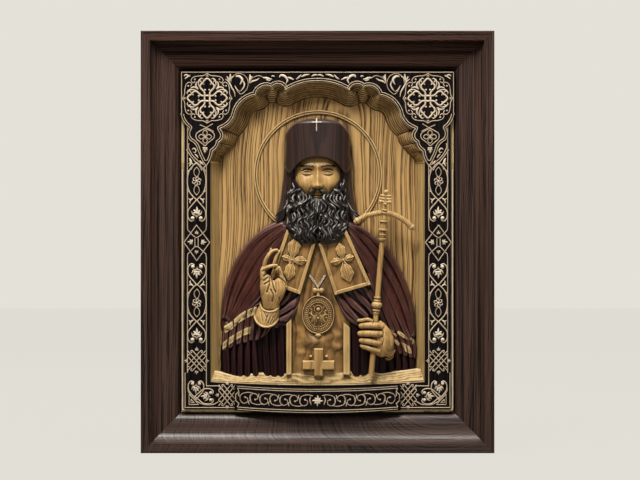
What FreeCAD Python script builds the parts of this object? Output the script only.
"""Carved wooden icon in a mitred moulding frame, built up from separate pieces, in millimetres.

The icon stands upright on its bottom edge: X runs to the viewer's right, Z runs up and the front looks
along -Y. The origin is the middle of the frame's bottom face. Heights named "rise" or "level" are measured
forward from the frame's back plane.
"""
import FreeCAD
import Part

import math
import os

from FreeCAD import Vector

# Frame moulding
frame_width = 360.0
frame_height = 430.0
frame_depth = 46.0
moulding_width = 40.0
lip_width = 10.0
lip_edge_radius = 1.2
cove_run = 14.0
cove_drop = 13.0
cove_sagitta = 3.5
shelf_run = 5.0
shelf_drop = 0.4
roll_drop = 8.6
roll_sagitta = 2.0
rebate_width = 9.0

# Panel stack inside the frame, from the wall forward
backing_thickness = 3.0
ground_thickness = 9.0
lining_thickness = 15.0
border_thickness = 4.0
arch_board_extra = 1.0
panel_play = 1.0
sight_play = 0.3
border_inset = 3.2
overrun = 2.0
glue_gap = 0.3

# Niche opening, set by the width of the border around it
side_margin = 29.7
base_margin = 30.7
arch_margin = 6.7
jamb_slope = 8.0
sill_bevel_depth = 8.0
sill_bevel_rise = 10.0
arch_spring_share = 0.722

# Edge joints of the ground board, as shares of its width
stave_joint_shares = (-0.16, 0.277)

# Name plate, bow-fronted, with no lettering
plate_width = 170.0
plate_top_drop = 2.5
plate_end_height = 26.0
plate_sag = 3.2
plate_end_thickness = 2.5
plate_bow = 7.0
plate_top_sag = 3.1

# Halo ring
halo_radius = 64.5
halo_band = 3.0
halo_rise = 2.6
halo_centre_share = 0.686

# Depth of the carved layers in front of the ground board
veil_edge_rise = 5.0
veil_crown = 8.0
body_edge_rise = 5.0
body_crown = 12.0
robe_edge_rise = 3.0
robe_crown = 9.0
cassock_edge_rise = 8.0
cassock_crown = 6.0
tablet_thickness = 2.0
leaf_thickness = 1.4
crest_height = 1.0
sleeve_thickness = 3.0

# Head, hat and beard
head_half_width = 26.0
head_top_share = 0.79
head_chin_share = 0.5
head_edge_rise = 8.0
head_crown = 15.0
hat_edge_rise = 8.0
hat_crown = 17.0
beard_edge_rise = 18.4
beard_crown = 7.2
hat_cross_bar = 1.6
hat_cross_height = 13.5
hat_cross_width = 9.5
hat_cross_thickness = 0.8
hat_cross_level_share = 0.8465

# Hands
hand_edge_rise = 16.0
hand_crown = 8.0
cuff_edge_rise = 14.0
cuff_crown = 9.0
finger_radius = 3.4
grip_finger_level_shares = (0.190, 0.1663, 0.1426, 0.1189)
grip_finger_reach_shares = (0.196, 0.264)
grip_level = 31.0

# Staff
staff_radius = 3.0
staff_level = 31.0
staff_foot_share = (0.2475, 0.03)
staff_head_share = (0.3025, 0.560)
knob_radius = 5.6
knob_share = 0.435
collar_radius = 4.6
collar_length = 2.0
collar_gap = 1.6
ferrule_radius = 4.9
ferrule_length = 12.0
crossbar_radius = 2.9
finial_base_radius = 3.6
finial_base_length = 8.0
finial_ball_radius = 2.4
finial_knop_radius = 3.1
finial_bar_width = 9.0
finial_bar_size = 2.2

# Medallion, chain and cross on the chest
medallion_thickness = 3.4
medallion_rim = 1.6
medallion_dish = 1.0
medallion_centre_share = 0.222
bow_width = 11.0
bow_height = 6.0
drop_radius = 3.4
drop_clearance = 1.9
chain_radius = 0.8
chest_cross_width = 32.4
chest_cross_bar = 9.3
chest_cross_thickness = 3.6
chest_cross_arm_share = 0.40

# Back hardware
v_nail_leg = 6.0
v_nail_sheet = 0.8
v_nail_depth = 10.0
v_nail_shares = (0.30, 0.62)
turn_button_length = 25.0
turn_button_width = 10.0
turn_button_thickness = 1.5
turn_button_gap = 0.2
turn_button_play = 0.08
button_setback = 21.0
button_rise_shares = (0.27, 0.73)
screw_shank_radius = 1.8
screw_length = 16.0
screw_head_radius = 3.6
screw_head_height = 1.8
keyhole_plate_width = 38.0
keyhole_plate_height = 16.0
keyhole_plate_thickness = 1.6
keyhole_radius = 4.5
keyhole_slot_width = 5.0
keyhole_slot_length = 8.5
keyhole_pocket_depth = 9.0
keyhole_screw_spacing = 28.0
keyhole_setback = 15.0
bumper_radius = 7.0
bumper_thickness = 5.0
bumper_setback = 14.0

# Outlines, as shares of the niche opening: (share of its width from the middle, share of its height).
# Each scallop of the arch is an arc, given by the point it passes through and the point where it ends.
arch_crown_share = (0.0, 0.989)
arch_front_shares = [
    ((-0.0738, 0.9828), (-0.1505, 0.9583)),
    ((-0.1857, 0.9800), (-0.2130, 0.9695)),
    ((-0.2560, 0.9722), (-0.2890, 0.9445)),
    ((-0.3475, 0.9262), (-0.3855, 0.8820)),
    ((-0.4085, 0.8525), (-0.4530, 0.8330)),
    ((-0.4390, 0.8160), (-0.4590, 0.7880)),
    ((-0.4705, 0.7690), (-0.4875, 0.7590)),
]
arch_back_crown_share = (0.0, 0.943)
arch_back_shares = [
    ((-0.075, 0.939), (-0.148, 0.917)),
    ((-0.182, 0.933), (-0.218, 0.925)),
    ((-0.262, 0.920), (-0.296, 0.900)),
    ((-0.345, 0.868), (-0.375, 0.829)),
    ((-0.381, 0.822), (-0.387, 0.808)),
    ((-0.391, 0.790), (-0.405, 0.768)),
    ((-0.413, 0.7545), (-0.425, 0.746)),
]
arch_foot_through_share = (-0.4925, 0.7405)
arch_back_foot_through_share = (-0.445, 0.734)
pendant_tip_share = (-0.520, 0.7085)
pendant_inner_through_share = (-0.4930, 0.7405)
pendant_outer_shares = [
    ((-0.5460, 0.7400), (-0.5600, 0.7640)),
    ((-0.5700, 0.7800), (-0.5935, 0.7935)),
    ((-0.6080, 0.8180), (-0.5990, 0.8370)),
    ((-0.6225, 0.8540), (-0.6370, 0.8800)),
]

hat_shares = [
    (-0.151, 0.740), (-0.149, 0.816), (-0.129, 0.838), (-0.096, 0.856), (-0.050, 0.865), (0.0, 0.867),
    (0.050, 0.865), (0.096, 0.856), (0.129, 0.838), (0.149, 0.816), (0.151, 0.740), (0.122, 0.694),
    (0.106, 0.708), (0.084, 0.723), (0.047, 0.736), (0.0, 0.741), (-0.047, 0.736), (-0.084, 0.723),
    (-0.106, 0.708), (-0.122, 0.694),
]
veil_shares = [
    (-0.151, 0.760), (-0.160, 0.682), (-0.170, 0.633), (-0.179, 0.593), (-0.192, 0.554), (-0.199, 0.528),
    (-0.139, 0.490), (0.139, 0.490), (0.195, 0.528), (0.182, 0.560), (0.166, 0.610), (0.157, 0.672),
    (0.151, 0.760),
]
beard_shares = [
    (-0.127, 0.682), (-0.143, 0.633), (-0.153, 0.590), (-0.157, 0.547), (-0.148, 0.507), (-0.129, 0.481),
    (-0.101, 0.465), (-0.064, 0.457), (-0.026, 0.458), (0.0, 0.466), (0.026, 0.458), (0.064, 0.457),
    (0.101, 0.466), (0.129, 0.486), (0.146, 0.517), (0.152, 0.560), (0.149, 0.613), (0.138, 0.653),
    (0.124, 0.682), (0.098, 0.650), (0.068, 0.632), (0.036, 0.641), (0.0, 0.650), (-0.036, 0.641),
    (-0.068, 0.632), (-0.098, 0.650),
]
cloak_left_shares = [
    (-0.134, 0.534), (-0.199, 0.526), (-0.260, 0.502), (-0.316, 0.468), (-0.363, 0.427), (-0.401, 0.379),
    (-0.429, 0.329), (-0.445, 0.276), (-0.452, 0.230), (-0.452, 0.121), (-0.363, 0.151), (-0.307, 0.167),
    (-0.260, 0.181), (-0.223, 0.179), (-0.176, 0.191), (-0.143, 0.197), (-0.122, 0.210), (-0.101, 0.240),
    (-0.080, 0.290), (-0.003, 0.458), (-0.060, 0.500),
]
cloak_right_shares = [
    (0.133, 0.534), (0.161, 0.529), (0.213, 0.507), (0.269, 0.478), (0.330, 0.438), (0.372, 0.395),
    (0.405, 0.349), (0.433, 0.296), (0.451, 0.243), (0.461, 0.187), (0.461, 0.098), (0.395, 0.121),
    (0.353, 0.154), (0.292, 0.191), (0.227, 0.191), (0.175, 0.195), (0.138, 0.214), (0.105, 0.253),
    (0.079, 0.286), (0.003, 0.458), (0.060, 0.500),
]
robe_left_shares = [
    (-0.450, 0.118), (-0.450, 0.0), (-0.143, 0.0), (-0.143, 0.195), (-0.176, 0.189), (-0.223, 0.177),
    (-0.260, 0.179), (-0.307, 0.165), (-0.363, 0.149),
]
robe_right_shares = [
    (0.152, 0.206), (0.152, 0.0), (0.459, 0.0), (0.459, 0.096), (0.395, 0.119), (0.353, 0.152),
    (0.292, 0.189), (0.227, 0.189), (0.175, 0.193),
]
cassock_shares = [
    (0.0, 0.456), (-0.078, 0.288), (-0.099, 0.238), (-0.120, 0.208), (-0.141, 0.195), (-0.141, 0.0),
    (0.150, 0.0), (0.150, 0.203), (0.136, 0.212), (0.103, 0.251), (0.077, 0.284),
]
tablet_left_shares = [(-0.143, 0.504), (-0.007, 0.458), (-0.080, 0.288), (-0.232, 0.326)]
tablet_right_shares = [(0.133, 0.504), (0.002, 0.458), (0.079, 0.286), (0.250, 0.321)]
leaf_cross_left_shares = (
    (-0.113, 0.406),
    [(-0.120, 0.455), (-0.050, 0.393), (-0.140, 0.335), (-0.163, 0.416)],
)
leaf_cross_right_shares = (
    (0.113, 0.400),
    [(0.104, 0.454), (0.061, 0.391), (0.151, 0.330), (0.172, 0.408)],
)
leaf_bulge_share = 0.24
raised_hand_shares = [
    (-0.262, 0.257), (-0.270, 0.303), (-0.271, 0.349), (-0.263, 0.389), (-0.242, 0.415), (-0.223, 0.438),
    (-0.200, 0.440), (-0.181, 0.432), (-0.171, 0.395), (-0.160, 0.349), (-0.147, 0.319), (-0.155, 0.283),
    (-0.174, 0.255),
]
cuff_shares = [
    (-0.277, 0.263), (-0.294, 0.238), (-0.284, 0.210), (-0.260, 0.187), (-0.237, 0.179), (-0.209, 0.184),
    (-0.190, 0.204), (-0.172, 0.240), (-0.178, 0.259), (-0.228, 0.248),
]
grip_hand_shares = [
    (0.240, 0.214), (0.291, 0.204), (0.322, 0.175), (0.346, 0.145), (0.360, 0.115), (0.346, 0.091),
    (0.322, 0.080), (0.287, 0.088), (0.240, 0.100),
]
sleeve_left_shares = [
    (-0.448, 0.190), (-0.400, 0.222), (-0.340, 0.250), (-0.297, 0.262), (-0.294, 0.224), (-0.262, 0.180),
    (-0.330, 0.160), (-0.440, 0.110),
]
sleeve_right_shares = [
    (0.335, 0.186), (0.388, 0.168), (0.457, 0.126), (0.457, 0.060), (0.400, 0.070), (0.362, 0.082),
]
crossbar_shares = ((0.178, 0.531), (0.302, 0.5565), (0.441, 0.513))
chain_shares = [(-0.036, 0.352), (0.003, 0.318), (0.036, 0.350)]
bow_share = (0.003, 0.301)
drop_share = (0.003, 0.150)
medallion_half_shares = (0.0757, 0.0633)
chest_cross_height_share = 0.0913
chest_cross_foot_share = (0.0045, 0.0200)

# Sizes that follow from the ones above
roll_run = moulding_width - lip_width - cove_run - shelf_run
sight_level = frame_depth - cove_drop - shelf_drop - roll_drop
ground_level = backing_thickness + ground_thickness
lining_level = ground_level + lining_thickness
border_level = lining_level + border_thickness
sight_width = frame_width - 2 * moulding_width
lining_width = sight_width - 2 * sight_play
lining_low = moulding_width + sight_play
lining_high = frame_height - moulding_width - sight_play
rebate_reach = moulding_width - rebate_width
ground_width = frame_width - 2 * (rebate_reach + panel_play)
ground_height = frame_height - 2 * (rebate_reach + panel_play)
frame_middle = frame_height / 2
back_plane = frame_depth / 2
niche_width = lining_width - 2 * side_margin
niche_half = niche_width / 2
niche_floor_level = lining_low + base_margin
niche_height = lining_high - arch_margin - niche_floor_level
spring_level = niche_floor_level + arch_spring_share * niche_height

parts = {}


def y_of(rise):
    """The Y coordinate of a height in front of the frame's back plane."""
    return back_plane - rise


def spot(share, rise=0.0):
    """A point given by its share of the niche opening, at a height in front of the back plane."""
    return Vector(share[0] * niche_width, y_of(rise), niche_floor_level + share[1] * niche_height)


def mirrored(points):
    """The same points on the other side of the icon's middle, in the opposite order."""
    return [Vector(-p.x, p.y, p.z) for p in reversed(points)]


def block(x_low, x_high, rise_low, rise_high, z_low, z_high):
    """A square block between two heights in front of the back plane."""
    corner = Vector(x_low, y_of(rise_high), z_low)
    return Part.makeBox(x_high - x_low, rise_high - rise_low, z_high - z_low, corner)


def prism(points, rise_low, rise_high):
    """A straight-sided plate with the given outline, between two heights."""
    outline = [Vector(p.x, y_of(rise_low), p.z) for p in points]
    face = Part.Face(Part.makePolygon(outline + outline[:1]))
    return face.extrude(Vector(0, rise_low - rise_high, 0))


def share_prism(shares, rise_low, rise_high):
    """A plate whose outline is given in shares of the niche opening."""
    return prism([spot(share) for share in shares], rise_low, rise_high)


def arc_edges(start, arcs):
    """Arcs one after another from a starting point, each through one point to its end."""
    edges = []
    for through, end in arcs:
        edges.append(Part.Arc(start, through, end).toShape())
        start = end
    return edges


def line_edge(start, end):
    """A straight edge between two points."""
    return Part.LineSegment(start, end).toShape()


def barrel(x_low, x_high, edge_rise, crown, z_low, z_high, base=None):
    """An upright log with a flat back: edge_rise thick at its sides and crown more at its middle."""
    base = ground_level if base is None else base
    left_back = Vector(x_low, y_of(base), z_low)
    right_back = Vector(x_high, y_of(base), z_low)
    left_front = Vector(x_low, y_of(base + edge_rise), z_low)
    right_front = Vector(x_high, y_of(base + edge_rise), z_low)
    top = Vector((x_low + x_high) / 2, y_of(base + edge_rise + crown), z_low)
    edges = [
        line_edge(left_front, left_back),
        line_edge(left_back, right_back),
        line_edge(right_back, right_front),
        Part.Arc(right_front, top, left_front).toShape(),
    ]
    return Part.Face(Part.Wire(edges)).extrude(Vector(0, 0, z_high - z_low))


def crosswise_barrel(z_low, z_high, edge_rise, crown, x_low, x_high):
    """The same log lying along X on the ground board, which rounds a form towards its top and bottom."""
    low_back = Vector(x_low, y_of(ground_level), z_low)
    high_back = Vector(x_low, y_of(ground_level), z_high)
    low_front = Vector(x_low, y_of(ground_level + edge_rise), z_low)
    high_front = Vector(x_low, y_of(ground_level + edge_rise), z_high)
    top = Vector(x_low, y_of(ground_level + edge_rise + crown), (z_low + z_high) / 2)
    edges = [
        line_edge(low_front, low_back),
        line_edge(low_back, high_back),
        line_edge(high_back, high_front),
        Part.Arc(high_front, top, low_front).toShape(),
    ]
    return Part.Face(Part.Wire(edges)).extrude(Vector(x_high - x_low, 0, 0))


def rounded_plate(shares, edge_rise, crown):
    """A carved form: a plate of the given outline whose front is rounded across its width and its height."""
    points = [spot(share) for share in shares]
    plate = share_prism(shares, ground_level, ground_level + edge_rise + crown + overrun)
    x_low = min(p.x for p in points) - overrun
    x_high = max(p.x for p in points) + overrun
    z_low = min(p.z for p in points) - overrun
    z_high = max(p.z for p in points) + overrun
    return crowned(plate, x_low, x_high, z_low, z_high, edge_rise, crown)


def crowned(plate, x_low, x_high, z_low, z_high, edge_rise, crown):
    """A plate whose front is rounded by two logs, an upright one and a slightly taller one across it."""
    upright = barrel(x_low, x_high, edge_rise, crown, z_low - overrun, z_high + overrun)
    across = crosswise_barrel(
        z_low, z_high, edge_rise, crown + crest_height, x_low - overrun, x_high + overrun
    )
    return plate.common(upright).common(across)


def largest(shape):
    """The largest solid of a cut shape, without its loose slivers."""
    return max(shape.Solids, key=lambda solid: solid.Volume)


def laid_on(raw, *under):
    """A piece bedded on the pieces under it, so that their faces meet."""
    return largest(raw.cut(list(under)))


def keep(node, shape):
    """Remembers a finished piece under its node name."""
    parts[node] = shape
    return shape


def moulding_profile(outer_z):
    """The moulding's section in the YZ plane, with its outer edge at the given Z and the sight edge above."""
    def at(inward, rise):
        return Vector(0, y_of(rise), outer_z + inward)

    cove_end = lip_width + cove_run
    cove_foot = frame_depth - cove_drop
    cove_slope = math.hypot(cove_run, cove_drop)
    cove_through = at(
        lip_width + cove_run / 2 - cove_sagitta * cove_drop / cove_slope,
        frame_depth - cove_drop / 2 - cove_sagitta * cove_run / cove_slope,
    )
    shelf_end = cove_end + shelf_run
    shelf_foot = cove_foot - shelf_drop
    roll_slope = math.hypot(roll_run, roll_drop)
    roll_through = at(
        shelf_end + roll_run / 2 + roll_sagitta * roll_drop / roll_slope,
        shelf_foot - roll_drop / 2 + roll_sagitta * roll_run / roll_slope,
    )
    edge_share = 1 - math.sqrt(0.5)
    edge_through = at(lip_edge_radius * edge_share, frame_depth - lip_edge_radius * edge_share)
    lip_side = at(0, frame_depth - lip_edge_radius)
    lip_front = at(lip_edge_radius, frame_depth)
    edges = [
        line_edge(at(0, 0), lip_side),
        Part.Arc(lip_side, edge_through, lip_front).toShape(),
        line_edge(lip_front, at(lip_width, frame_depth)),
        Part.Arc(at(lip_width, frame_depth), cove_through, at(cove_end, cove_foot)).toShape(),
        line_edge(at(cove_end, cove_foot), at(shelf_end, shelf_foot)),
        Part.Arc(at(shelf_end, shelf_foot), roll_through, at(moulding_width, sight_level)).toShape(),
        line_edge(at(moulding_width, sight_level), at(moulding_width, ground_level)),
        line_edge(at(moulding_width, ground_level), at(rebate_reach, ground_level)),
        line_edge(at(rebate_reach, ground_level), at(rebate_reach, 0)),
        line_edge(at(rebate_reach, 0), at(0, 0)),
    ]
    return Part.Face(Part.Wire(edges))


def mitred_rail(length, outer_distance, turn):
    """One length of moulding with mitred ends, turned about the frame's middle to its side of the frame."""
    log = moulding_profile(-outer_distance).extrude(Vector(length, 0, 0))
    log.translate(Vector(-length / 2, 0, 0))
    inner = length / 2 - moulding_width
    corners = [
        Vector(-length / 2, 0, -outer_distance),
        Vector(length / 2, 0, -outer_distance),
        Vector(inner, 0, moulding_width - outer_distance),
        Vector(-inner, 0, moulding_width - outer_distance),
    ]
    rail = log.common(prism(corners, -overrun, frame_depth + overrun))
    rail.rotate(Vector(0, 0, 0), Vector(0, 1, 0), turn)
    rail.translate(Vector(0, 0, frame_middle))
    return rail


def v_nail(x_side, z_side, share):
    """A steel V nail across one mitre, driven in from the back, with a leg in each length of moulding."""
    reach = share * rebate_reach
    apex_x = x_side * (frame_width / 2 - reach)
    apex_z = frame_middle + z_side * (frame_height / 2 - reach)
    inner_x = apex_x - x_side * v_nail_leg
    inner_z = apex_z - z_side * v_nail_leg
    sheet_x = apex_x - x_side * v_nail_sheet
    sheet_z = apex_z - z_side * v_nail_sheet
    outline = [
        Vector(apex_x, 0, apex_z),
        Vector(inner_x, 0, apex_z),
        Vector(inner_x, 0, sheet_z),
        Vector(sheet_x, 0, sheet_z),
        Vector(sheet_x, 0, inner_z),
        Vector(apex_x, 0, inner_z),
    ]
    return prism(outline, 0, v_nail_depth)


def turn_button_places():
    """Each turn button: its name, its pivot's place and the way it points over the backing board."""
    side_x = frame_width / 2 - button_setback
    side = [frame_height * share for share in button_rise_shares]
    return [
        ("left_lower", Vector(-side_x, 0, side[0]), 0),
        ("left_upper", Vector(-side_x, 0, side[1]), 0),
        ("right_lower", Vector(side_x, 0, side[0]), 180),
        ("right_upper", Vector(side_x, 0, side[1]), 180),
        ("top", Vector(-frame_width / 4, 0, frame_height - button_setback), 90),
        ("bottom", Vector(0, 0, button_setback), -90),
    ]


def turn_button(pivot, turn):
    """A stadium-shaped steel button with a screw hole near its rounded outer end."""
    radius = turn_button_width / 2
    straight = turn_button_length - turn_button_width
    rise_low = -turn_button_gap - turn_button_thickness
    body = block(0, straight, rise_low, -turn_button_gap, -radius, radius)
    near_face = y_of(-turn_button_gap)
    ends = [
        Part.makeCylinder(radius, turn_button_thickness, Vector(x, near_face, 0), Vector(0, 1, 0))
        for x in (0, straight)
    ]
    hole = Part.makeCylinder(
        screw_shank_radius + turn_button_play,
        turn_button_thickness + 2 * overrun,
        Vector(0, y_of(-turn_button_gap + overrun), 0),
        Vector(0, 1, 0),
    )
    button = body.fuse(ends).removeSplitter().cut(hole)
    button.rotate(Vector(0, 0, 0), Vector(0, 1, 0), turn)
    button.translate(pivot)
    return button


def button_screw(pivot):
    """A round-head screw through a turn button into the moulding."""
    head_level = turn_button_gap + turn_button_thickness + turn_button_gap
    shank = Part.makeCylinder(
        screw_shank_radius, screw_length, Vector(pivot.x, y_of(-head_level), pivot.z), Vector(0, -1, 0)
    )
    head = Part.makeCylinder(
        screw_head_radius, screw_head_height, Vector(pivot.x, y_of(-head_level), pivot.z), Vector(0, 1, 0)
    )
    dome_radius = screw_head_radius * 2
    dome_centre = y_of(-head_level - screw_head_height) - dome_radius
    head = head.common(Part.makeSphere(dome_radius, Vector(pivot.x, dome_centre, pivot.z)))
    return shank.fuse(head).removeSplitter()


def build_frame():
    """The four mitred lengths of moulding, their V nails and the keyhole plate let into the top one."""
    quarter = 90
    rails = {
        "frame_bottom_rail": mitred_rail(frame_width, frame_height / 2, 0),
        "frame_top_rail": mitred_rail(frame_width, frame_height / 2, 2 * quarter),
        "frame_left_stile": mitred_rail(frame_height, frame_width / 2, quarter),
        "frame_right_stile": mitred_rail(frame_height, frame_width / 2, -quarter),
    }
    nails = [v_nail(x, z, share) for x in (-1, 1) for z in (-1, 1) for share in v_nail_shares]
    screws = [button_screw(pivot) for name, pivot, turn in turn_button_places()]
    plate, plate_screws, pocket = keyhole_hanger()
    rails["frame_top_rail"] = rails["frame_top_rail"].cut([pocket, plate] + plate_screws)
    for node, rail in rails.items():
        keep(node, largest(rail.cut(nails + screws)))
    keep("corner_v_nails", Part.makeCompound(nails))
    keep("turn_button_screws", Part.makeCompound(screws))
    keep("keyhole_plate", plate)
    keep("keyhole_screws", Part.makeCompound(plate_screws))
    for name, pivot, turn in turn_button_places():
        keep("turn_button_" + name, turn_button(pivot, turn))


def keyhole_hanger():
    """The keyhole plate flush with the moulding's back, its two screws and the pocket for a wall screw."""
    level = frame_height - keyhole_setback
    half_width = keyhole_plate_width / 2
    half_height = keyhole_plate_height / 2
    centre_low = level - keyhole_radius / 2
    low = level - half_height
    plate = block(-half_width, half_width, 0, keyhole_plate_thickness, low, level + half_height)
    reach = keyhole_plate_thickness + 2 * overrun
    start = y_of(keyhole_plate_thickness + overrun)
    hole = Part.makeCylinder(keyhole_radius, reach, Vector(0, start, centre_low), Vector(0, 1, 0))
    slot_half = keyhole_slot_width / 2
    slot_top = centre_low + keyhole_slot_length - slot_half
    slot = block(-slot_half, slot_half, -overrun, keyhole_plate_thickness + overrun, centre_low, slot_top)
    slot_end = Part.makeCylinder(slot_half, reach, Vector(0, start, slot_top), Vector(0, 1, 0))
    screws = []
    for side in (-1, 1):
        place = Vector(side * keyhole_screw_spacing / 2, y_of(0), level)
        shank = Part.makeCylinder(screw_shank_radius, screw_length, place, Vector(0, -1, 0))
        head = Part.makeCone(
            screw_head_radius, screw_shank_radius, keyhole_plate_thickness, place, Vector(0, -1, 0)
        )
        screws.append(shank.fuse(head).removeSplitter())
    plate = plate.cut([hole, slot, slot_end] + screws)
    pocket_half = keyhole_radius + glue_gap
    pocket_top = centre_low + keyhole_slot_length + glue_gap
    pocket = block(
        -pocket_half, pocket_half, keyhole_plate_thickness, keyhole_pocket_depth, centre_low, pocket_top
    )
    pocket_foot = Part.makeCylinder(
        pocket_half,
        keyhole_pocket_depth - keyhole_plate_thickness,
        Vector(0, y_of(keyhole_pocket_depth), centre_low),
        Vector(0, 1, 0),
    )
    return plate, screws, pocket.fuse(pocket_foot).removeSplitter()


def build_back():
    """The fibreboard behind the panel and the felt pads that hold the icon off the wall."""
    half_width = ground_width / 2
    half_height = ground_height / 2
    low = frame_middle - half_height
    high = frame_middle + half_height
    keep("backing_board", block(-half_width, half_width, 0, backing_thickness, low, high))
    pads = [
        Part.makeCylinder(
            bumper_radius,
            bumper_thickness,
            Vector(x_side * (frame_width / 2 - bumper_setback), y_of(0), z_place),
            Vector(0, 1, 0),
        )
        for x_side in (-1, 1)
        for z_place in (bumper_setback, frame_height - bumper_setback)
    ]
    keep("wall_bumpers", Part.makeCompound(pads))


def build_ground():
    """The ground board behind the figure, edge-glued from three upright staves."""
    low = frame_middle - ground_height / 2
    high = frame_middle + ground_height / 2
    joints = [share * ground_width for share in stave_joint_shares]
    edges = [-ground_width / 2] + joints + [ground_width / 2]
    for name, left, right in zip(("left", "centre", "right"), edges, edges[1:]):
        keep("ground_stave_" + name, block(left, right, backing_thickness, ground_level, low, high))


def arch_outline(crown_share, arcs, foot_through, foot, rise):
    """Half the scalloped arch as arcs from its crown to its foot, and the points used, on the left side."""
    chain = [(spot(through, rise), spot(end, rise)) for through, end in arcs]
    chain.append((spot(foot_through, rise), foot))
    return spot(crown_share, rise), chain


def whole_arch_wire(crown, chain):
    """The arch from its left foot over the crown to its right foot, closed by a straight line."""
    left = arc_edges(crown, chain)
    right = arc_edges(
        Vector(-crown.x, crown.y, crown.z),
        [(Vector(-a.x, a.y, a.z), Vector(-b.x, b.y, b.z)) for a, b in chain],
    )
    foot = chain[-1][1]
    close = line_edge(foot, Vector(-foot.x, foot.y, foot.z))
    return Part.Wire(Part.__sortEdges__(left + right + [close]))


def build_lining():
    """The plain wooden lining of the niche: two sloped jambs, a bevelled sill and the scalloped arch head."""
    half = lining_width / 2
    back_half = niche_half - jamb_slope
    for name, side in (("left", -1), ("right", 1)):
        section = [
            Vector(side * half, y_of(ground_level), lining_low),
            Vector(side * half, y_of(lining_level), lining_low),
            Vector(side * niche_half, y_of(lining_level), lining_low),
            Vector(side * back_half, y_of(ground_level), lining_low),
        ]
        face = Part.Face(Part.makePolygon(section + section[:1]))
        keep("niche_jamb_" + name, face.extrude(Vector(0, 0, spring_level - lining_low)))
    bevel_level = lining_level - sill_bevel_depth
    sill_top = niche_floor_level + sill_bevel_rise
    section = [
        Vector(-half, y_of(ground_level), lining_low),
        Vector(-half, y_of(lining_level), lining_low),
        Vector(-half, y_of(lining_level), niche_floor_level),
        Vector(-half, y_of(bevel_level), sill_top),
        Vector(-half, y_of(ground_level), sill_top),
    ]
    sill = Part.Face(Part.makePolygon(section + section[:1])).extrude(Vector(lining_width, 0, 0))
    keep("niche_sill", largest(sill.cut([parts["niche_jamb_left"], parts["niche_jamb_right"]])))
    front_foot = Vector(-niche_half, y_of(lining_level), spring_level)
    back_foot = Vector(-back_half, y_of(ground_level), spring_level)
    front = arch_outline(
        arch_crown_share, arch_front_shares, arch_foot_through_share, front_foot, lining_level
    )
    back = arch_outline(
        arch_back_crown_share, arch_back_shares, arch_back_foot_through_share, back_foot, ground_level
    )
    hollow = Part.makeLoft([whole_arch_wire(*back), whole_arch_wire(*front)], True, True)
    head = block(-half, half, ground_level, lining_level, spring_level, lining_high)
    keep("niche_arch_head", largest(head.cut(hollow)))


def build_border():
    """The dark border boards on the lining: arch board with pendants, two pilasters and the base strip."""
    half = lining_width / 2 - border_inset
    board_half = lining_width / 2
    tip = spot(pendant_tip_share, lining_level)
    crown, chain = arch_outline(
        arch_crown_share, arch_front_shares, pendant_inner_through_share, tip, lining_level
    )
    outer = [(spot(a, lining_level), spot(b, lining_level)) for a, b in pendant_outer_shares]
    left = arc_edges(crown, chain + outer)
    right = arc_edges(
        crown, [(Vector(-a.x, a.y, a.z), Vector(-b.x, b.y, b.z)) for a, b in chain + outer]
    )
    shoulder = outer[-1][1]
    corners = [
        shoulder,
        Vector(-board_half, shoulder.y, shoulder.z),
        Vector(-board_half, shoulder.y, lining_high),
    ]
    rim = corners + mirrored(corners)
    lines = [line_edge(a, b) for a, b in zip(rim, rim[1:])]
    wire = Part.Wire(Part.__sortEdges__(left + lines + right))
    board = Part.Face(wire).extrude(Vector(0, -(border_thickness + arch_board_extra), 0))
    keep("border_arch_board", board)
    base_low = lining_low + border_inset
    for name, side in (("left", -1), ("right", 1)):
        x_low, x_high = sorted((side * half, side * niche_half))
        strip = block(x_low, x_high, lining_level, border_level, niche_floor_level, shoulder.z)
        keep("border_pilaster_" + name, largest(strip.cut(board)))
    base = block(-half, half, lining_level, border_level, base_low, niche_floor_level)
    keep("border_base", largest(base.cut(sagged_edge())))
    keep("name_plate", name_plate())


def sagged_edge():
    """What is cut off the base strip so that its upper edge sags between the pilasters, as the plate's does."""
    back = y_of(lining_level - overrun)
    low_left = Vector(-niche_half, back, niche_floor_level)
    low_right = Vector(niche_half, back, niche_floor_level)
    high_left = Vector(-niche_half, back, niche_floor_level + overrun)
    high_right = Vector(niche_half, back, niche_floor_level + overrun)
    lowest = Vector(0, back, niche_floor_level - plate_top_sag)
    edges = [
        Part.Arc(low_left, lowest, low_right).toShape(),
        line_edge(low_right, high_right),
        line_edge(high_right, high_left),
        line_edge(high_left, low_left),
    ]
    depth = border_thickness + 2 * overrun
    return Part.Face(Part.Wire(edges)).extrude(Vector(0, -depth, 0))


def name_plate():
    """The blank bow-fronted plate glued over the base strip, with both its long edges sagging."""
    half = plate_width / 2
    high = niche_floor_level - plate_top_drop
    low = high - plate_end_height
    front = border_level + plate_end_thickness + plate_bow + overrun
    corners = [
        Vector(-half, y_of(border_level), low),
        Vector(-half, y_of(border_level), high),
        Vector(half, y_of(border_level), high),
        Vector(half, y_of(border_level), low),
    ]
    top_sag = Vector(0, y_of(border_level), high - plate_top_sag)
    sag = Vector(0, y_of(border_level), low - plate_sag)
    edges = [
        line_edge(corners[0], corners[1]),
        Part.Arc(corners[1], top_sag, corners[2]).toShape(),
        line_edge(corners[2], corners[3]),
        Part.Arc(corners[3], sag, corners[0]).toShape(),
    ]
    slab = Part.Face(Part.Wire(edges)).extrude(Vector(0, border_level - front, 0))
    bow = barrel(
        -half, half, plate_end_thickness, plate_bow, low - plate_sag - overrun, high + overrun, border_level
    )
    return largest(slab.common(bow))


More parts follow.
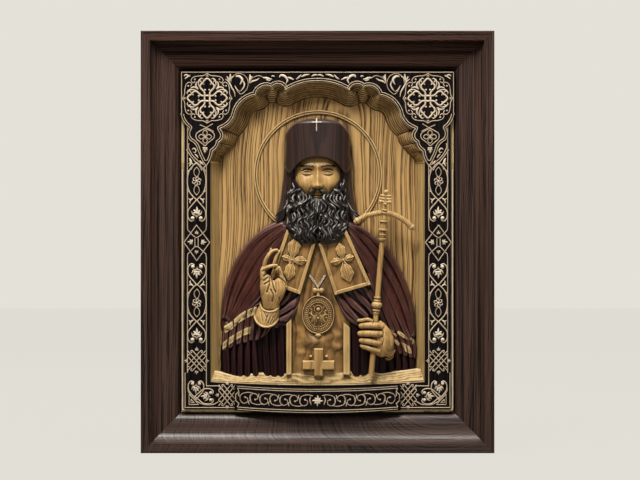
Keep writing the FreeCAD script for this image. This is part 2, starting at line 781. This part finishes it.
def build_garments():
    """The halo ring and the carved garments, each bedded on the ones behind it."""
    sill = parts["niche_sill"]
    body_top = niche_floor_level + niche_height / 2 + overrun
    body = barrel(-niche_half, niche_half, body_edge_rise, body_crown, 0, frame_height)
    centre = Vector(0, y_of(ground_level), niche_floor_level + halo_centre_share * niche_height)
    disc = Part.makeCylinder(halo_radius, halo_rise, centre, Vector(0, -1, 0))
    hole = Part.makeCylinder(halo_radius - halo_band, halo_rise, centre, Vector(0, -1, 0))

    veil = keep("hat_veil", largest(rounded_plate(veil_shares, veil_edge_rise, veil_crown)))
    front = ground_level + body_edge_rise + body_crown + overrun
    cassock = share_prism(cassock_shares, ground_level, front)
    cassock_reach = max(abs(share[0]) for share in cassock_shares) * niche_width
    cassock = cassock.common(
        barrel(-cassock_reach, cassock_reach, cassock_edge_rise, cassock_crown, 0, body_top)
    )
    keep("cassock_front", laid_on(cassock, sill))
    robe_log = barrel(-niche_half, niche_half, robe_edge_rise, robe_crown, 0, frame_height)
    for name, shares in (("left", robe_left_shares), ("right", robe_right_shares)):
        robe = share_prism(shares, ground_level, front).common(robe_log)
        keep("robe_folds_" + name, laid_on(robe, sill, parts["cassock_front"]))
    for name, shares in (("left", cloak_left_shares), ("right", cloak_right_shares)):
        cloak = share_prism(shares, ground_level, front).common(body)
        keep(
            "cloak_" + name,
            laid_on(cloak, veil, parts["cassock_front"], parts["robe_folds_" + name]),
        )
    hidden = [veil, parts["cloak_left"], parts["cloak_right"]]
    keep("halo_ring", largest(disc.cut([hole] + hidden)))

    panel_log = barrel(
        -niche_half, niche_half, body_edge_rise + tablet_thickness, body_crown, 0, frame_height
    )
    for name, shares in (("left", tablet_left_shares), ("right", tablet_right_shares)):
        panel = share_prism(shares, ground_level + body_edge_rise, front + tablet_thickness)
        keep("collar_tablet_" + name, laid_on(panel.common(panel_log), body))
    leaf_log = barrel(
        -niche_half,
        niche_half,
        body_edge_rise + tablet_thickness + leaf_thickness,
        body_crown,
        0,
        frame_height,
    )
    leaf_front = front + tablet_thickness + leaf_thickness
    for name, cross in (("left", leaf_cross_left_shares), ("right", leaf_cross_right_shares)):
        leaves = leaf_cross(cross, leaf_front).common(leaf_log)
        keep("leaf_cross_" + name, laid_on(leaves, panel_log))

    sleeve_log = barrel(
        -niche_half, niche_half, robe_edge_rise + sleeve_thickness, body_crown, 0, frame_height
    )
    for name, shares in (("left", sleeve_left_shares), ("right", sleeve_right_shares)):
        sleeve = share_prism(shares, ground_level, front).common(sleeve_log)
        under = [parts["cloak_" + name], parts["robe_folds_" + name], sill]
        keep("sleeve_" + name, laid_on(sleeve, *under))


def leaf_cross(cross, front):
    """Four pointed leaves growing from one middle, as one carved ornament."""
    centre = spot(cross[0], ground_level)
    leaves = []
    for share in cross[1]:
        tip = spot(share, ground_level)
        run = tip - centre
        across = Vector(-run.z, 0, run.x) * leaf_bulge_share
        middle = centre + run / 2
        edges = [
            Part.Arc(centre - run * leaf_bulge_share / 2, middle + across, tip).toShape(),
            Part.Arc(tip, middle - across, centre - run * leaf_bulge_share / 2).toShape(),
        ]
        leaves.append(Part.Face(Part.Wire(edges)).extrude(Vector(0, ground_level - front, 0)))
    return leaves[0].fuse(leaves[1:]).removeSplitter()


def build_head():
    """The head as a plain egg, the tall hat over it and the beard in front of it."""
    top = niche_floor_level + head_top_share * niche_height
    chin = niche_floor_level + head_chin_share * niche_height
    middle = Vector(0, y_of(ground_level), (top + chin) / 2)
    head = oval(head_half_width, (top - chin) / 2, middle, 0, head_edge_rise + head_crown + overrun)
    reach = head_half_width + overrun
    head = crowned(head, -reach, reach, chin - overrun, top + overrun, head_edge_rise, head_crown)
    veil = parts["hat_veil"]
    keep("head", laid_on(head, veil, parts["cassock_front"], parts["cloak_left"], parts["cloak_right"]))
    hat_reach = max(abs(share[0]) for share in hat_shares) * niche_width
    hat_front = ground_level + hat_edge_rise + hat_crown + overrun
    hat = share_prism(hat_shares, ground_level, hat_front)
    hat_log = barrel(-hat_reach, hat_reach, hat_edge_rise, hat_crown, 0, frame_height)
    keep("hat_crown", laid_on(hat.common(hat_log), veil, parts["head"], parts["halo_ring"]))
    beard = rounded_plate(beard_shares, beard_edge_rise, beard_crown)
    under = [
        veil,
        parts["head"],
        parts["hat_crown"],
        parts["cassock_front"],
        parts["cloak_left"],
        parts["cloak_right"],
        parts["collar_tablet_left"],
        parts["collar_tablet_right"],
        parts["leaf_cross_left"],
        parts["leaf_cross_right"],
    ]
    keep("beard", laid_on(beard, *under))
    centre_z = niche_floor_level + hat_cross_level_share * niche_height
    arm_z = centre_z + hat_cross_height / 4
    cross = plain_cross(
        Vector(0, 0, centre_z - hat_cross_height / 2),
        (hat_cross_width, hat_cross_height, hat_cross_bar),
        arm_z,
        ground_level,
        hat_front - overrun + hat_cross_thickness,
    )
    keep("hat_cross", laid_on(cross, hat_log))


def plain_cross(foot, sizes, arm_z, rise_low, rise_high):
    """An upright bar from its foot with one crossbar: sizes are its width, its height and the bars' width."""
    width, height, bar = sizes
    half = bar / 2
    upright = block(foot.x - half, foot.x + half, rise_low, rise_high, foot.z, foot.z + height)
    arms = block(foot.x - width / 2, foot.x + width / 2, rise_low, rise_high, arm_z - half, arm_z + half)
    return upright.fuse(arms).removeSplitter()


def build_chest():
    """The medallion with its bow, chain and drop, and the plain cross at the foot of the cassock."""
    cassock = parts["cassock_front"]
    cassock_front_level = ground_level + cassock_edge_rise + cassock_crown
    centre = Vector(0, y_of(cassock_front_level), niche_floor_level + medallion_centre_share * niche_height)
    centre.x = bow_share[0] * niche_width
    half_width = medallion_half_shares[0] * niche_width
    half_height = medallion_half_shares[1] * niche_height
    disc = oval(half_width, half_height, centre, overrun, medallion_thickness)
    dish = oval(
        half_width - medallion_rim,
        half_height - medallion_rim,
        centre,
        medallion_dish - medallion_thickness,
        medallion_thickness + overrun,
    )
    keep("medallion", laid_on(disc.cut(dish), cassock))
    bow_centre = spot(bow_share, cassock_front_level + bow_height / 8)
    lobe_reach = Vector((bow_width - bow_height) / 2, 0, 0)
    lobes = [Part.makeSphere(bow_height / 2, bow_centre + lobe_reach * side) for side in (-1, 1)]
    knot = rod(bow_centre - lobe_reach, bow_centre + lobe_reach, bow_height / 4)
    stem_high = bow_centre.z
    stem_low = centre.z + half_height - medallion_rim
    stem = block(
        centre.x - bow_height / 4,
        centre.x + bow_height / 4,
        cassock_front_level - overrun,
        cassock_front_level + bow_height / 4,
        stem_low,
        stem_high,
    )
    bow = lobes[0].fuse([lobes[1], knot, stem]).removeSplitter()
    keep("medallion_bow", laid_on(bow, cassock, parts["medallion"]))
    cross_foot = spot(chest_cross_foot_share, cassock_front_level)
    cross_height = chest_cross_height_share * niche_height
    drop_low = cross_foot.z + cross_height + drop_clearance
    drop = tear_drop(spot(drop_share, cassock_front_level + drop_radius / 4), drop_low)
    keep("medallion_drop", laid_on(drop, cassock, parts["medallion"]))
    bends = [spot(share, cassock_front_level) for share in chain_shares]
    links = [rod(a, b, chain_radius) for a, b in zip(bends, bends[1:])]
    chain = links[0].fuse(links[1:] + [Part.makeSphere(chain_radius, bends[1])])
    under = [cassock, parts["medallion_bow"], parts["collar_tablet_left"], parts["collar_tablet_right"]]
    keep("chain", laid_on(chain, *under))
    cross = plain_cross(
        cross_foot,
        (chest_cross_width, cross_height, chest_cross_bar),
        cross_foot.z + chest_cross_arm_share * cross_height,
        ground_level + cassock_edge_rise,
        cassock_front_level + chest_cross_thickness,
    )
    keep("chest_cross", laid_on(cross, cassock, parts["niche_sill"]))


def tear_drop(centre, point_z):
    """A round pendant drop, turned about Z, with its point down at point_z."""
    low = Vector(centre.x, centre.y, point_z)
    high = centre + Vector(0, 0, drop_radius)
    side = centre + Vector(0, drop_radius, 0)
    shoulder = centre + Vector(0, drop_radius, drop_radius) * math.sqrt(0.5)
    edges = [
        line_edge(high, low),
        line_edge(low, side),
        Part.Arc(side, shoulder, high).toShape(),
    ]
    return Part.Face(Part.Wire(edges)).revolve(centre, Vector(0, 0, 1), 360)


def oval(half_width, half_height, centre, behind, ahead):
    """An upright oval disc facing forward, from behind its centre to ahead of it."""
    ellipse = Part.Ellipse(Vector(0, 0, half_height), Vector(half_width, 0, 0), Vector(0, 0, 0))
    face = Part.Face(Part.Wire([ellipse.toShape()]))
    face.translate(Vector(centre.x, centre.y + behind, centre.z))
    return face.extrude(Vector(0, -(behind + ahead), 0))


def rod(start, end, radius):
    """A round rod between two points."""
    run = end - start
    return Part.makeCylinder(radius, run.Length, start, run)


def build_staff_and_hands():
    """The turned staff with its crossbar and finial, the gripping hand, the raised hand and its cuff."""
    foot = spot(staff_foot_share, staff_level)
    head = spot(staff_head_share, staff_level)
    run = head - foot
    along = Vector(run)
    along.normalize()
    shaft = rod(foot, head, staff_radius)
    knob_centre = foot + run * knob_share
    turned = [Part.makeSphere(knob_radius, knob_centre)]
    for side in (-1, 1):
        ring_start = knob_centre + along * side * (knob_radius + collar_gap)
        turned.append(Part.makeCylinder(collar_radius, collar_length, ring_start, along * side))
    ferrule_start = head - along * (ferrule_length + crossbar_radius)
    turned.append(Part.makeCylinder(ferrule_radius, ferrule_length, ferrule_start, along))
    behind_staff = (
        "cloak_right",
        "cloak_left",
        "robe_folds_right",
        "sleeve_right",
        "niche_sill",
        "collar_tablet_right",
        "leaf_cross_right",
    )
    body = [parts[node] for node in behind_staff]
    staff = laid_on(shaft.fuse(turned).removeSplitter(), *body)

    arc = Part.Arc(*[spot(share, staff_level) for share in crossbar_shares])
    path = Part.Wire([arc.toShape()])
    start = spot(crossbar_shares[0], staff_level)
    end = spot(crossbar_shares[-1], staff_level)
    circle = Part.Circle(start, arc.tangent(arc.FirstParameter)[0], crossbar_radius)
    crossbar = path.makePipeShell([Part.Wire([circle.toShape()])], True, True)
    crossbar = crossbar.fuse([Part.makeSphere(crossbar_radius, point) for point in (start, end)])
    behind_bar = [parts[node] for node in ("cloak_right", "hat_veil", "beard")]
    crossbar = keep("staff_crossbar", laid_on(crossbar.removeSplitter(), *behind_bar))
    keep("staff_shaft", largest(staff.cut(crossbar)))
    finial = Part.makeCylinder(finial_base_radius, finial_base_length, head, along)
    ball_centre = head + along * (finial_base_length + finial_ball_radius / 2)
    bar_half = finial_bar_width / 2
    bar_size = finial_bar_size
    bar = block(
        ball_centre.x - bar_half,
        ball_centre.x + bar_half,
        staff_level - bar_size / 2,
        staff_level + bar_size / 2,
        ball_centre.z + finial_ball_radius,
        ball_centre.z + finial_ball_radius + bar_size,
    )
    top_ball = Part.makeSphere(finial_ball_radius, ball_centre + along * 2 * finial_ball_radius)
    finial = finial.fuse([Part.makeSphere(finial_knop_radius, ball_centre), bar, top_ball])
    behind_finial = [parts[node] for node in ("staff_crossbar", "staff_shaft", "halo_ring")]
    keep("staff_finial", laid_on(finial.removeSplitter(), *behind_finial))

    palm = rounded_plate(grip_hand_shares, hand_edge_rise, hand_crown)
    fingers = []
    for level_share in grip_finger_level_shares:
        left, right = [spot((reach, level_share), grip_level) for reach in grip_finger_reach_shares]
        fingers += [rod(left, right, finger_radius), Part.makeSphere(finger_radius, left)]
    hand = palm.fuse(fingers).removeSplitter()
    keep("gripping_hand", laid_on(hand, parts["staff_shaft"], parts["cassock_front"], *body))

    cuff = rounded_plate(cuff_shares, cuff_edge_rise, cuff_crown)
    behind_hand = (
        "cloak_left",
        "robe_folds_left",
        "sleeve_left",
        "collar_tablet_left",
        "leaf_cross_left",
        "cassock_front",
    )
    left_body = [parts[node] for node in behind_hand]
    raised = rounded_plate(raised_hand_shares, hand_edge_rise, hand_crown)
    raised = keep("raised_hand", laid_on(raised, *left_body))
    keep("hand_cuff", laid_on(cuff, raised, *left_body))


def main():
    """Builds every piece and writes one file for each node."""
    build_frame()
    build_back()
    build_ground()
    build_lining()
    build_border()
    build_garments()
    build_head()
    build_chest()
    build_staff_and_hands()
    os.makedirs("parts", exist_ok=True)
    for node, shape in parts.items():
        shape.exportStep(os.path.join("parts", node + ".step"))
        print(node, len(shape.Solids), round(shape.Volume), shape.isValid())


main()
